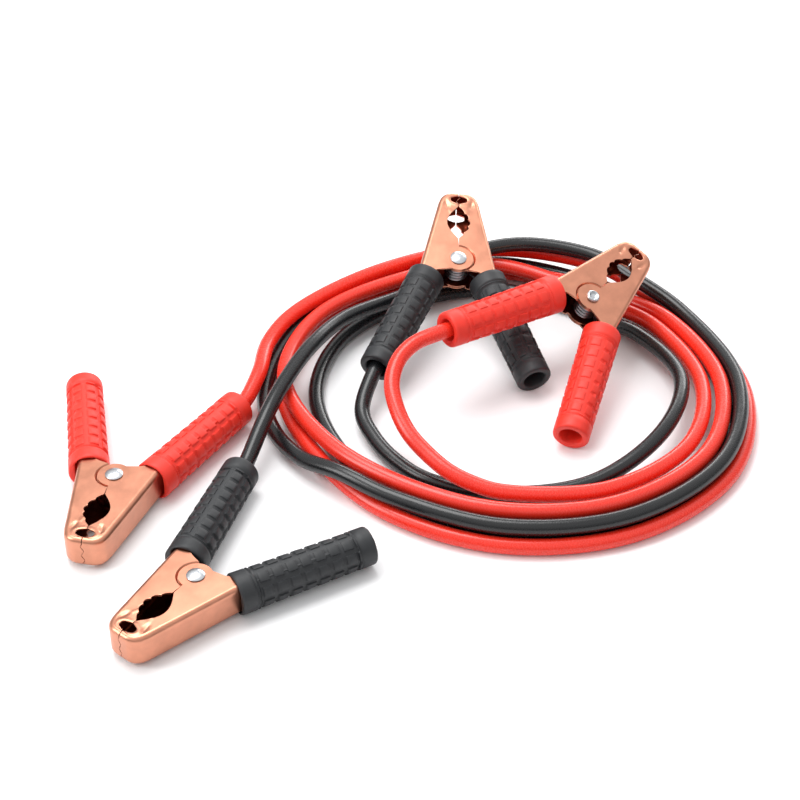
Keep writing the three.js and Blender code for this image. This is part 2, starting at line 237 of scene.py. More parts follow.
def on_handle(distance, sideways):
    """A plan point on the handle of the +y side, by its distance from the sleeve's mouth."""
    back, rise = math.cos(HANDLE_ANGLE), math.sin(HANDLE_ANGLE)
    return (
        MOUTH_X - back * distance + rise * sideways,
        MOUTH_Y + rise * distance + back * sideways,
    )


def smooth_curve(points, steps):
    """Points along a centripetal curve through the given points."""
    points = np.array(points, float)
    ahead = np.vstack([2 * points[0] - points[1], points, 2 * points[-1] - points[-2]])
    shares = np.linspace(0, 1, steps, endpoint=False)[:, None]
    parts = []
    for p0, p1, p2, p3 in zip(ahead, ahead[1:], ahead[2:], ahead[3:]):
        d0, d1, d2 = (max(np.sum((b - a) ** 2) ** 0.25, 1e-4) for a, b in ((p0, p1), (p1, p2), (p2, p3)))
        t1 = ((p1 - p0) / d0 - (p2 - p0) / (d0 + d1) + (p2 - p1) / d1) * d1
        t2 = ((p2 - p1) / d1 - (p3 - p1) / (d1 + d2) + (p3 - p2) / d2) * d1
        c2 = -3 * p1 + 3 * p2 - 2 * t1 - t2
        c3 = 2 * p1 - 2 * p2 + t1 + t2
        parts.append(p1 + t1 * shares + c2 * shares**2 + c3 * shares**3)
    return np.vstack([*parts, points[-1:]])


def spaced(points, gap):
    """The same path with its points about one gap apart."""
    walked = np.concatenate([[0], np.cumsum(np.linalg.norm(np.diff(points, axis=0), axis=1))])
    marks = np.linspace(0, walked[-1], max(2, round(walked[-1] / gap) + 1))
    return np.stack([np.interp(marks, walked, points[:, i]) for i in range(3)], axis=1)


def new_object(name, mesh, *materials):
    for material in materials:
        mesh.materials.append(material)
    piece = bpy.data.objects.new(name, mesh)
    bpy.context.scene.collection.objects.link(piece)
    return piece


def mesh_from(name, points, faces):
    mesh = bpy.data.meshes.new(name)
    mesh.from_pydata([tuple(p) for p in points], [], [tuple(f) for f in faces])
    mesh.validate()
    mesh.polygons.foreach_set("use_smooth", [True] * len(mesh.polygons))
    return mesh


def keep_plan(mesh, plan):
    """Stores each point's place on the clamp's drawing, in metres, for patterns that follow the metal."""
    attribute = mesh.attributes.new("plan", "FLOAT_VECTOR", "POINT")
    attribute.data.foreach_set("vector", (np.array(plan, float) * MM).ravel())


def add_node(tree, kind, settings=None, **inputs):
    """A node with its settings, and its inputs set to values or linked to sockets."""
    node = tree.nodes.new(kind)
    for key, value in (settings or {}).items():
        setattr(node, key, value)
    for key, value in inputs.items():
        socket = node.inputs[int(key[1:])] if key[0] == "_" else node.inputs[key.replace("_", " ")]
        if isinstance(value, bpy.types.NodeSocket):
            tree.links.new(value, socket)
        else:
            socket.default_value = value
    return node


def shader(name, colour, metallic, roughness):
    """A new material with its surface shader: the tree, the shader and the colour."""
    material = bpy.data.materials.new(name)
    material.use_nodes = True
    tree = material.node_tree
    tree.nodes.clear()
    output = add_node(tree, "ShaderNodeOutputMaterial")
    surface = add_node(
        tree, "ShaderNodeBsdfPrincipled", Base_Color=colour, Metallic=metallic, Roughness=roughness
    )
    tree.links.new(surface.outputs["BSDF"], output.inputs["Surface"])
    return material, tree, surface


def vary_colour(tree, surface, mask, dark, light):
    ramp = add_node(tree, "ShaderNodeMix", {"data_type": "RGBA"}, _0=mask)
    ramp.inputs[6].default_value = dark
    ramp.inputs[7].default_value = light
    tree.links.new(ramp.outputs[2], surface.inputs["Base Color"])


def vary_roughness(tree, surface, mask, low, high):
    spread = add_node(tree, "ShaderNodeMapRange", Value=mask, _3=low, _4=high)
    tree.links.new(spread.outputs[0], surface.inputs["Roughness"])


def shaded(colour, factor):
    return (*(min(1.0, c * factor) for c in colour[:3]), 1.0)


def plated_steel(name, colour, roughness, inside=False):
    """Copper-plated sheet steel: rolled grain along the jaw, faint bath stains, soft satin gloss; with inside
    set, the stains darken much further as painted shade.
    """
    material, tree, surface = shader(name, colour, 1.0, roughness)
    plan = add_node(tree, "ShaderNodeAttribute", {"attribute_name": "plan"}).outputs["Vector"]
    # Rolling lines 0.1 mm wide are drawn 0.35 mm wide so that they show.
    stretch = add_node(tree, "ShaderNodeMapping", Vector=plan, Scale=(0.06, 1.0, 1.0))
    grain = add_node(tree, "ShaderNodeTexNoise", Vector=stretch.outputs[0], Scale=2800.0, Detail=3.0)
    stain = add_node(tree, "ShaderNodeTexNoise", Vector=plan, Scale=110.0, Detail=5.0, Roughness=0.6)
    soft = add_node(tree, "ShaderNodeMapRange", Value=stain.outputs["Fac"], _1=0.35, _2=0.7)
    # With inside set, the dark end of the stain mix is much darker: painted shade on the channel's inner
    # faces.
    dark = shaded(colour, 0.55 if inside else 0.86)
    vary_colour(tree, surface, soft.outputs[0], dark, colour)
    vary_roughness(tree, surface, stain.outputs["Fac"], roughness - 0.06, roughness + 0.14)
    bump = add_node(tree, "ShaderNodeBump", Strength=0.12, Distance=0.00005, Height=grain.outputs["Fac"])
    tree.links.new(bump.outputs[0], surface.inputs["Normal"])
    return material


def sleeve_pvc(name, colour):
    """Soft dip-moulded PVC: matt, slightly pebbled skin, paler where hands rub it."""
    material, tree, surface = shader(name, colour, 0.0, 0.5)
    surface.inputs["IOR"].default_value = 1.52
    place_in = add_node(tree, "ShaderNodeTexCoord").outputs["Object"]
    # Mould texture of 0.4 mm pebbles over a 6 mm mottling.
    pebble = add_node(tree, "ShaderNodeTexNoise", Vector=place_in, Scale=2500.0, Detail=2.0)
    mottle = add_node(tree, "ShaderNodeTexNoise", Vector=place_in, Scale=160.0, Detail=4.0, Roughness=0.6)
    vary_colour(tree, surface, mottle.outputs["Fac"], shaded(colour, 0.86), shaded(colour, 1.12))
    vary_roughness(tree, surface, mottle.outputs["Fac"], 0.42, 0.62)
    bump = add_node(tree, "ShaderNodeBump", Strength=0.22, Distance=0.00006, Height=pebble.outputs["Fac"])
    tree.links.new(bump.outputs[0], surface.inputs["Normal"])
    return material


def cable_pvc(name, colour):
    """Extruded PVC jacket: smooth and glossy, with the slight waviness that the strands give it."""
    material, tree, surface = shader(name, colour, 0.0, 0.26)
    surface.inputs["IOR"].default_value = 1.53
    place_in = add_node(tree, "ShaderNodeTexCoord").outputs["Object"]
    # Waves about 9 mm long and fine scuffs of 0.7 mm.
    wave = add_node(tree, "ShaderNodeTexNoise", Vector=place_in, Scale=110.0, Detail=2.0)
    scuff = add_node(tree, "ShaderNodeTexNoise", Vector=place_in, Scale=1400.0, Detail=3.0)
    vary_colour(tree, surface, wave.outputs["Fac"], shaded(colour, 0.92), shaded(colour, 1.06))
    vary_roughness(tree, surface, scuff.outputs["Fac"], 0.18, 0.36)
    bump = add_node(tree, "ShaderNodeBump", Strength=0.2, Distance=0.0004, Height=wave.outputs["Fac"])
    tree.links.new(bump.outputs[0], surface.inputs["Normal"])
    return material


def bright_steel(name, colour, roughness):
    """Zinc-plated or drawn steel: bright, with fine random scratches."""
    material, tree, surface = shader(name, colour, 1.0, roughness)
    place_in = add_node(tree, "ShaderNodeTexCoord").outputs["Object"]
    haze = add_node(tree, "ShaderNodeTexNoise", Vector=place_in, Scale=900.0, Detail=4.0, Roughness=0.7)
    vary_roughness(tree, surface, haze.outputs["Fac"], roughness - 0.08, roughness + 0.16)
    bump = add_node(tree, "ShaderNodeBump", Strength=0.15, Distance=0.00004, Height=haze.outputs["Fac"])
    tree.links.new(bump.outputs[0], surface.inputs["Normal"])
    return material


def tube_tree():
    """Geometry Nodes tree that turns a line of points into a round, capped tube of one material."""
    tree = bpy.data.node_groups.new("Round tube along a line", "GeometryNodeTree")
    sockets = tree.interface
    sockets.new_socket("Line", in_out="INPUT", socket_type="NodeSocketGeometry")
    radius = sockets.new_socket("Radius", in_out="INPUT", socket_type="NodeSocketFloat")
    sides = sockets.new_socket("Sides", in_out="INPUT", socket_type="NodeSocketInt")
    finish = sockets.new_socket("Finish", in_out="INPUT", socket_type="NodeSocketMaterial")
    sockets.new_socket("Tube", in_out="OUTPUT", socket_type="NodeSocketGeometry")
    source = add_node(tree, "NodeGroupInput")
    line = add_node(tree, "GeometryNodeMeshToCurve", Mesh=source.outputs["Line"])
    ring = add_node(
        tree,
        "GeometryNodeCurvePrimitiveCircle",
        Resolution=source.outputs["Sides"],
        Radius=source.outputs["Radius"],
    )
    sweep = add_node(
        tree,
        "GeometryNodeCurveToMesh",
        Curve=line.outputs[0],
        Profile_Curve=ring.outputs[0],
        Fill_Caps=True,
    )
    smooth = add_node(tree, "GeometryNodeSetShadeSmooth", Geometry=sweep.outputs[0])
    whole = add_node(tree, "GeometryNodeRealizeInstances", Geometry=smooth.outputs[0])
    dressed = add_node(
        tree, "GeometryNodeSetMaterial", Geometry=whole.outputs[0], Material=source.outputs["Finish"]
    )
    result = add_node(tree, "NodeGroupOutput")
    tree.links.new(dressed.outputs[0], result.inputs["Tube"])
    return tree, (radius.identifier, sides.identifier, finish.identifier)


def tube(name, points, radius, sides, material):
    """A tube along points in metres, made by the tree and turned to a plain mesh."""
    tree, names = tube_tree()
    line = bpy.data.meshes.new(name + "_line")
    line.from_pydata([tuple(p) for p in points], [(i, i + 1) for i in range(len(points) - 1)], [])
    carrier = new_object(name + "_line", line)
    modifier = carrier.modifiers.new("Tube", "NODES")
    modifier.node_group = tree
    for key, value in zip(names, (radius, sides, material)):
        modifier[key] = value
    seen = carrier.evaluated_get(bpy.context.evaluated_depsgraph_get())
    mesh = bpy.data.meshes.new_from_object(seen)
    mesh.name = name
    bpy.data.objects.remove(carrier)
    bpy.data.meshes.remove(line)
    bpy.data.node_groups.remove(tree)
    if not mesh.materials:
        mesh.materials.append(material)
    return new_object(name, mesh)


def cable_end(clamp):
    """Where the lead leaves the crimp and runs out through the sleeve."""
    side = CLAMPS[clamp][4]
    marks = (TANG_LENGTH + CLEARANCE, SLEEVE_LENGTH - 8, SLEEVE_LENGTH + 6)
    points = [(*on_handle(mark, 0), 0) for mark in marks]
    return place(points, clamp, side) / MM


def lead(name, route, first, last, material, settings):
    stations = np.vstack([cable_end(first), np.array(route, float), cable_end(last)[::-1]])
    line = spaced(smooth_curve(stations, 24), 4.0) * MM
    piece = tube(name, line, settings.diameter / 2, settings.sides, material)
    node = name.replace("_jacket", "")
    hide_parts(node)
    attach(piece, "lead_set")


def jaw_edge():
    """Outer edge of the stamping in plan, from the nose seam to the end of the tang."""
    nose = smooth_curve([(x, y, 0) for x, y in NOSE_OUTLINE], 4)[:, :2]
    shoulder = np.array(NOSE_OUTLINE[-1])
    bend = np.array(on_handle(0, TANG_OUTER))
    end = np.array(on_handle(TANG_LENGTH, TANG_OUTER))
    flank = [shoulder + (bend - shoulder) * t for t in (0.15, 0.35, 0.55, 0.75, 0.9)]
    ahead = bend + (shoulder - bend) * 0.05
    behind = bend + (end - bend) * 0.05
    turn = [ahead * (1 - t) ** 2 + 2 * bend * t * (1 - t) + behind * t**2 for t in (0, 0.33, 0.67, 1)]
    tang = [bend + (end - bend) * t for t in (0.3, 0.65, 1.0)]
    return np.vstack([nose, flank, turn, tang])


def edge_normals(edge):
    along = np.gradient(edge, axis=0)
    along[0] = (0.0, 1.0)
    along /= np.linalg.norm(along, axis=1)[:, None]
    return np.stack([along[:, 1], -along[:, 0]], axis=1)


def eye_edge(toothed):
    """Half of the eye from the pinch back to its rear corner."""
    share = np.linspace(1, 0, 61 if toothed else 31)
    x = EYE_REAR + (EYE_PINCH - EYE_REAR) * share
    y = SEAM + EYE_HALF_WIDTH * np.sin(math.pi * share)
    if toothed:
        bite = TOOTH_DEPTH * (1 - np.abs(np.sin(math.pi * TOOTH_COUNT * share)) ** 0.7)
        y = np.maximum(y - bite * np.sin(math.pi * share) ** 0.3, SEAM)
    return np.stack([x, y], axis=1)


def arc(centre_x, radius, start, end, count):
    angles = np.radians(np.linspace(start, end, count))
    return np.stack([centre_x + radius * np.cos(angles), radius * np.sin(angles)], axis=1)


def seam_edge(kind):
    """Inner edge of one plate, from the nose along the notch and the eye to the pivot."""
    notch = arc(0, 1.0, 0, 180, 25)
    ripple = 1 + 0.03 * np.cos(np.radians(np.linspace(0, 180, 25)) * 6)
    notch = notch * ripple[:, None] * (NOTCH_LENGTH, NOTCH_WIDTH) + (NOTCH_X, SEAM)
    notch[[0, -1], 1] = SEAM
    return np.vstack([notch, eye_edge(kind == "inner")])


def rear_edge():
    """Edge of the plate between the pivot and the sleeve, drawn with a soft inner corner, then the tang."""
    ear = np.array((-EAR_RADIUS * math.cos(math.radians(30)), EAR_RADIUS * math.sin(math.radians(30))))
    corner = np.array(on_handle(0, -TANG_INNER))
    end = np.array(on_handle(TANG_LENGTH, -TANG_INNER))
    start = corner + (ear - corner) * 0.35
    stop = corner + (end - corner) * 0.06
    turn = [start * (1 - t) ** 2 + 2 * corner * t * (1 - t) + stop * t**2 for t in (0, 0.25, 0.5, 0.75, 1)]
    return ear, np.vstack([turn, end])


def inside(points, loop):
    """Which points lie inside a closed loop."""
    x, y = points[:, 0], points[:, 1]
    result = np.zeros(len(points), bool)
    for a, b in zip(loop, np.roll(loop, -1, axis=0)):
        crosses = (a[1] > y) != (b[1] > y)
        rise = b[1] - a[1] if abs(b[1] - a[1]) > 1e-12 else 1e-12
        result ^= crosses & (x < (b[0] - a[0]) * (y - a[1]) / rise + a[0])
    return result


def stamped_relief(plan):
    """Height of the stamped marks round the nose: a raised lip by the notch and a sunk oval beside it."""
    x, y = plan[:, 0], plan[:, 1]
    lip = (np.hypot((x - NOTCH_X) / NOTCH_LENGTH, (y - SEAM) / NOTCH_WIDTH) - 1.25) * NOTCH_LENGTH
    oval = np.hypot((x - 47.4) / 3.6, (y - 8.4 - 0.2 * (x - 47.4)) / 1.7)
    height = 0.3 * np.exp(-((lip / 0.7) ** 2))
    height -= 0.55 / (1 + np.exp((oval - 0.85) * 9))
    crease = (y - 4.4 - (x - 38.0) * 0.35) / 0.7
    height += 0.2 * np.exp(-(crease**2)) * ((x > 38) & (x < 44))
    # The marks fade out towards the seam, where the land beside the notch is narrow.
    return height * np.clip((y - SEAM) / 1.5, 0, 1)


def plate(loop, hole_radius, relief_from=None):
    """A flat face inside a plan loop with the rivet's hole, finer where marks are stamped in it."""
    points = [tuple(p) for p in loop]
    edges = [(i, (i + 1) % len(loop)) for i in range(len(loop))]
    if hole_radius:
        first = len(points)
        hole = arc(0, hole_radius, 0, 345, 24)
        points += [tuple(p) for p in hole]
        edges += [(first + i, first + (i + 1) % 24) for i in range(24)]
    if relief_from is not None:
        gx, gy = np.meshgrid(np.arange(relief_from, 60, 0.8), np.arange(0.4, 16, 0.8))
        grid = np.stack([gx.ravel(), gy.ravel()], axis=1)
        grid = grid[inside(grid, loop)]
        gaps = np.min(np.linalg.norm(grid[:, None] - loop[None], axis=2), axis=1)
        points += [tuple(p) for p in grid[gaps > 0.35]]
    made = delaunay_2d_cdt([Vector(p) for p in points], edges, [tuple(range(len(loop)))], 1, 1e-6)
    flat = np.array([tuple(v) for v in made[0]])
    faces = []
    for face in made[2]:
        middle = flat[list(face)].mean(axis=0)
        if not hole_radius or np.linalg.norm(middle) > hole_radius * 0.98:
            faces.append(tuple(face))
    return flat, faces


def jaw(name, clamp, kind, side, outer_metal, inside_painted_shade_metal, settings):
    """One stamped jaw: two plates, the bent wall that joins them, and the ears round the rivet."""
    edge = jaw_edge()
    normals = edge_normals(edge)
    half = (JAW_THICKNESS - SHEET) / 2
    bend = BEND_RADIUS - SHEET / 2
    rows = []
    for angle in np.linspace(0, math.pi / 2, 6):
        rows.append((-BEND_RADIUS + bend * math.sin(angle), half - bend + bend * math.cos(angle)))
    walls = [(-SHEET / 2, z) for z in np.linspace(half - bend, bend - half, 9)[1:-1]]
    profile = rows + walls + [(offset, -z) for offset, z in reversed(rows)]
    points = []
    faces = []
    for i, (spot, normal) in enumerate(zip(edge, normals)):
        for offset, z in profile:
            place_at = spot + normal * offset
            # The two jaws' front walls meet in a zigzag.
            if i == 0 and abs(z) < half - bend - 0.1:
                place_at = place_at + (0.0, 1.1 * math.sin(z * 2 * math.pi / 7.0))
            points.append((*place_at, z))
    width = len(profile)
    for i in range(len(edge) - 1):
        for j in range(width - 1):
            a = i * width + j
            faces.append((a, a + width, a + width + 1, a + 1))
    margin = edge - normals * BEND_RADIUS
    ear, rear = rear_edge()
    hole = RIVET_RADIUS + CLEARANCE
    if kind == "outer":
        around = arc(0, EAR_RADIUS, -2, -208, 44)
        loops = [(np.vstack([seam_edge(kind), around, rear, margin[::-1]]), half, hole)]
    else:
        outside = EAR_RADIUS + CLEARANCE + SHEET + 0.4
        low = half - SHEET - CLEARANCE
        step_top = arc(0, outside, 1.6, 144, 28)
        step_foot = arc(0, outside - 1.2, 1.6, 144, 28)
        loops = [(np.vstack([seam_edge(kind), step_top, rear, margin[::-1]]), half, None)]
        free_arc = arc(0, EAR_RADIUS, 152, 356, 40)
        loops.append((np.vstack([step_foot, free_arc]), low, hole))
    for loop, level, radius in loops:
        flat, parts = plate(loop, radius, 36.0 if level == half else None)
        relief = stamped_relief(flat) if level == half else np.zeros(len(flat))
        for sign in (1, -1):
            first = len(points)
            points += [(x, y, sign * (level + dz)) for (x, y), dz in zip(flat, relief)]
            faces += [tuple(first + k for k in part) for part in parts]
    if kind == "inner":
        for sign in (1, -1):
            first = len(points)
            points += [(x, y, sign * half) for x, y in step_top]
            points += [(x, y, sign * low) for x, y in step_foot]
            count = len(step_top)
            for k in range(first, first + count - 1):
                faces.append((k, k + 1, k + count + 1, k + count))
    mesh = mesh_from(name, place(points, clamp, side), faces)
    keep_plan(mesh, points)
    work = bmesh.new()
    work.from_mesh(mesh)
    bmesh.ops.remove_doubles(work, verts=work.verts, dist=0.02 * MM)
    bmesh.ops.recalc_face_normals(work, faces=work.faces)
    # The wall's own middle tells which way is out.
    middle = Vector(place([(20.0, 0.0, 0.0)], clamp, side)[0])
    vote = sum((f.calc_center_median() - middle).dot(f.normal) * f.calc_area() for f in work.faces)
    if vote < 0:
        bmesh.ops.reverse_faces(work, faces=work.faces)
    work.to_mesh(mesh)
    work.free()
    piece = new_object(name, mesh, outer_metal, inside_painted_shade_metal)
    wall = piece.modifiers.new("Sheet", "SOLIDIFY")
    wall.thickness = settings.sheet
    wall.offset = 0.0
    wall.use_even_offset = True
    # The inner shell of the sheet takes the second material, the dark copper with painted shade and painted
    # inter-reflection.
    wall.material_offset = 1
    wall.material_offset_rim = 0
    rounding = piece.modifiers.new("Deburred edge", "BEVEL")
    rounding.width = settings.edge
    rounding.segments = 2
    rounding.limit_method = "ANGLE"
    rounding.angle_limit = math.radians(50)
    piece.modifiers.new("Even shading", "WEIGHTED_NORMAL").keep_sharp = True
    return piece


def sleeve_columns():
    """Angles round the sleeve, each with how far its point lies on a pad, from 0 in a channel to 1."""
    sector = 360.0 / PAD_COLUMNS
    marks = ((0.0, 0.0), (0.1, 0.0), (0.15, 0.1), (0.18, 0.85), (0.22, 1.0), (0.36, 1.0), (0.5, 1.0))
    marks += ((0.64, 1.0), (0.78, 1.0), (0.82, 0.85), (0.85, 0.1), (0.9, 0.0))
    angles = [(column + share) * sector for column in range(PAD_COLUMNS) for share, _ in marks]
    return np.radians(angles), np.array([on for _, on in marks] * PAD_COLUMNS)


def sleeve_rows():
    """Stations along the sleeve from mouth to far end: distance, drop below the skin, pad share."""
    rows = [(0.0, 0.9, 1.0), (0.35, 0.35, 1.0), (0.9, 0.0, 1.0)]
    rows += [(d, 0.0, 1.0) for d in (3.0, 5.5, 8.0)]
    for middle in (SLEEVE_BAND, SLEEVE_LENGTH - SLEEVE_BAND):
        groove = [(middle - 0.9, 0.0, 1.0), (middle - 0.45, 0.5, 1.0), (middle, 0.7, 1.0)]
        groove += [(middle + 0.45, 0.5, 1.0), (middle + 0.9, 0.0, 1.0)]
        rows += groove
        if middle == SLEEVE_BAND:
            start = SLEEVE_BAND + 2.0
            pitch = (SLEEVE_LENGTH - 2 * SLEEVE_BAND - 4.0) / PAD_ROWS
            for k in range(PAD_ROWS):
                base = start + k * pitch
                marks = ((0.0, 0.0), (0.1, 0.0), (0.13, 0.1), (0.16, 0.85), (0.2, 1.0), (0.4, 0.96))
                marks += ((0.6, 0.91), (0.79, 0.86), (0.83, 0.7), (0.86, 0.1), (0.91, 0.0))
                rows += [(base + share * pitch, 0.0, on) for share, on in marks]
            rows.append((start + PAD_ROWS * pitch, 0.0, 0.0))
            rows.append((start + PAD_ROWS * pitch + 0.4, 0.0, 1.0))
    tail = SLEEVE_LENGTH
    rows += [(tail - 6.0, 0.0, 1.0), (tail - 3.0, 0.0, 1.0), (tail - 1.4, 0.0, 1.0), (tail - 0.6, 0.25, 1.0)]
    rows += [(tail - 0.15, 0.7, 1.0), (tail, 1.3, 1.0)]
    return rows


def pocket_reach(angles):
    """Distance from the sleeve's axis to the wall of the pocket that holds the channel."""
    across, up = np.cos(angles), np.sin(angles)
    high = JAW_THICKNESS / 2 + CLEARANCE
    limit = np.where(across > 0, TANG_OUTER + CLEARANCE, TANG_INNER + CLEARANCE)
    flat = limit / np.maximum(np.abs(across), 1e-6)
    return np.minimum(flat, high / np.maximum(np.abs(up), 1e-6))


def sleeve(name, clamp, side, material, settings):
    """One grip sleeve: bands at both ends, rows of pads between them, the pocket and the open bore."""
    angles, on_pad = sleeve_columns()
    relief = settings.pad_relief / MM
    slope = (SLEEVE_MOUTH_RADIUS - SLEEVE_END_RADIUS) / SLEEVE_LENGTH
    # Pads stand out most on the sleeve's two sides and are nearly flush over the plates.
    depth = relief * (0.45 + 0.55 * np.abs(np.cos(angles)) ** 0.8)
    rings = []
    for distance, drop, along in sleeve_rows():
        skin = SLEEVE_MOUTH_RADIUS - slope * distance - drop
        banded = distance < SLEEVE_BAND + 1.5 or distance > SLEEVE_LENGTH - SLEEVE_BAND - 1.5
        share = np.ones_like(on_pad) if banded else np.minimum(on_pad, along)
        rings.append((distance, skin - depth * (1 - share)))
    tail = SLEEVE_LENGTH
    bore = np.full_like(angles, SLEEVE_BORE_RADIUS)
    bore_rings = ((tail, 0.9), (tail - 0.4, 0.3), (tail - 1.0, 0.0), (tail - 10, 0.0), (TANG_LENGTH + 0.6, 0))
    for distance, grow in bore_rings:
        rings.append((distance, bore + grow))
    pocket = pocket_reach(angles)
    throat = np.maximum(pocket + 0.25, np.minimum(pocket + 2.2, SLEEVE_MOUTH_RADIUS - 1.9))
    rings.append((TANG_LENGTH + 0.6, np.minimum(bore, pocket)))
    rings.append((TANG_LENGTH + 0.6, pocket))
    rings += [(d, pocket) for d in (40.0, 20.0, 7.0)]
    rings += [(3.5, throat), (0.8, throat), (0.15, throat + 0.35)]
    points = []
    across = np.array([math.sin(HANDLE_ANGLE), math.cos(HANDLE_ANGLE), 0.0])
    for distance, reach in rings:
        x, y = on_handle(distance, 0)
        for angle, r in zip(angles, reach):
            spot = np.array([x, y, 0.0]) + across * r * math.cos(angle)
            points.append((spot[0], spot[1], -r * math.sin(angle)))
    width = len(angles)
    faces = []
    for i in range(len(rings)):
        after = (i + 1) % len(rings)
        for j in range(width):
            k = (j + 1) % width
            faces.append((i * width + j, i * width + k, after * width + k, after * width + j))
    mesh = mesh_from(name, place(points, clamp, side), faces)
    work = bmesh.new()
    work.from_mesh(mesh)
    bmesh.ops.remove_doubles(work, verts=work.verts, dist=0.005 * MM)
    bmesh.ops.recalc_face_normals(work, faces=work.faces)
    for line in work.edges:
        if len(line.link_faces) == 2 and line.calc_face_angle() > math.radians(50):
            line.smooth = False
    work.to_mesh(mesh)
    work.free()
    return new_object(name, mesh, material)


def lathe(name, profile, clamp, sign, material, segments=48):
    """A turned piece round the rivet's axis, from a profile of radius and height."""
    points = []
    for radius, height in profile:
        for k in range(segments):
            angle = 2 * math.pi * k / segments
            points.append((radius * math.cos(angle), radius * math.sin(angle), height))
    faces = []
    for i in range(len(profile) - 1):
        for k in range(segments):
            n = (k + 1) % segments
            a, b = i * segments, (i + 1) * segments
            faces.append((a + k, a + n, b + n, b + k))
    faces.append(tuple(reversed(range(segments))))
    faces.append(tuple((len(profile) - 1) * segments + k for k in range(segments)))
    mesh = mesh_from(name, place(points, clamp, sign), faces)
    work = bmesh.new()
    work.from_mesh(mesh)
    bmesh.ops.recalc_face_normals(work, faces=work.faces)
    for line in work.edges:
        if len(line.link_faces) == 2 and line.calc_face_angle() > math.radians(45):
            line.smooth = False
    work.to_mesh(mesh)
    work.free()
    return new_object(name, mesh, material)


def rivet_profile():
    """Rolled tail with a dimple below, shank, and a low domed head on top."""
    seat = JAW_THICKNESS / 2 + CLEARANCE
    tail = RIVET_TAIL_RADIUS
    crown = RIVET_HEAD_HEIGHT
    below = [(0.6, seat + 0.3), (1.7, seat + 0.35), (2.3, seat + 0.8), (2.8, seat + crown * 0.9)]
    below += [(3.3, seat + crown), (3.8, seat + crown * 0.88), (4.2, seat + crown * 0.6)]
    below += [(tail, seat + 0.45), (tail, seat + 0.1), (tail - 0.1, seat)]
    shank = [(RIVET_RADIUS, -seat), (RIVET_RADIUS, seat)]
    rim = RIVET_HEAD_RADIUS
    head = [(rim - 0.15, seat), (rim, seat + 0.15), (rim, seat + 0.45)]
    for share in (0.94, 0.86, 0.74, 0.6, 0.45, 0.3, 0.15, 0.04):
        head.append((RIVET_HEAD_RADIUS * share, seat + 0.5 + (crown - 0.5) * (1 - share**2.6)))
    return [(r, -h) for r, h in below] + shank + head


def spring_path():
    """Coil round the rivet with a straight leg into each handle."""
    half = JAW_THICKNESS / 2 - 2 * SHEET - 2 * CLEARANCE - SPRING_WIRE_RADIUS - 0.4
    rest = TANG_OUTER - SHEET - CLEARANCE - SPRING_WIRE_RADIUS
    end = np.array(on_handle(SPRING_LEG, rest))
    lean = math.atan2(end[1], end[0]) - math.acos(SPRING_RADIUS / np.linalg.norm(end))
    sweep = 2 * math.pi * SPRING_TURNS + 2 * lean
    touch = SPRING_RADIUS * np.array([math.cos(lean), math.sin(lean)])
    first = [(*(end + (touch - end) * t), half) for t in (0, 0.3, 0.6, 0.85)]
    last = [(x, -y, -half) for x, y, _ in reversed(first)]
    coil = []
    for share in np.linspace(0, 1, 30 * SPRING_TURNS):
        angle = lean - sweep * share
        height = half * (1 - 2 * share)
        coil.append((SPRING_RADIUS * math.cos(angle), SPRING_RADIUS * math.sin(angle), height))
    return np.array(first + coil + last), half


def body_of(clamp, free):
    return f"{clamp}_handle" if free else "lead_set"


def finishes():
    """The set's materials, made once."""
    made = bpy.context.scene.get("jumper_finishes")
    if made:
        return {key: bpy.data.materials[name] for key, name in made.items()}
    colours = bpy.context.scene.jumper_colours
    red, black, copper = tuple(colours.red), tuple(colours.black), tuple(colours.copper)
    materials = {
        "copper": plated_steel("copper_plated_steel", copper, 0.3),
        # The channel's inner faces get a dark red-brown copper: painted shade and painted copper
        # inter-reflection inside the jaw, not a different plating.
        "copper_painted_shade_inside": plated_steel("painted_shade_copper_channel_inside", linear("#8E3F2C"), 0.34, inside=True),
        "red_sleeve": sleeve_pvc("dip_moulded_red_pvc", red),
        "black_sleeve": sleeve_pvc("dip_moulded_black_pvc", black),
        "red_cable": cable_pvc("extruded_red_pvc", red),
        "black_cable": cable_pvc("extruded_black_pvc", shaded(black, 0.45)),
        "zinc": bright_steel("zinc_plated_steel", linear("#C9CCD0"), 0.26),
        "spring": bright_steel("drawn_spring_steel", linear("#A5A7AA"), 0.3),
    }
    bpy.context.scene["jumper_finishes"] = {key: m.name for key, m in materials.items()}
    return materials


class JUMPER_OT_leads(bpy.types.Operator):
    """Lay the red and the black lead in their loose coil"""

    bl_idname = "jumper.leads"
    bl_label = "Leads"

    def execute(self, context):
        look = finishes()
        settings = context.scene.jumper_cable
        lead("red_cable_jacket", RED_ROUTE, "front_red", "rear_red", look["red_cable"], settings)
        lead("black_cable_jacket", BLACK_ROUTE, "front_black", "rear_black", look["black_cable"], settings)
        return {"FINISHED"}


class JUMPER_OT_jaws(bpy.types.Operator):
    """Stamp and bend the eight jaws"""

    bl_idname = "jumper.jaws"
    bl_label = "Jaws"

    def execute(self, context):
        look = finishes()
        settings = context.scene.jumper_clamp
        for clamp, (_, _, _, _, side, cable_kind, _) in CLAMPS.items():
            other = "inner" if cable_kind == "outer" else "outer"
            for node, kind, where in (("cable_jaw", cable_kind, side), ("free_jaw", other, -side)):
                name = f"{clamp}_{node}_stamping"
                piece = jaw(name, clamp, kind, where, look["copper"], look["copper_painted_shade_inside"], settings)
                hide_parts(f"{clamp}_{node}")
                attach(piece, body_of(clamp, node == "free_jaw"))
        return {"FINISHED"}


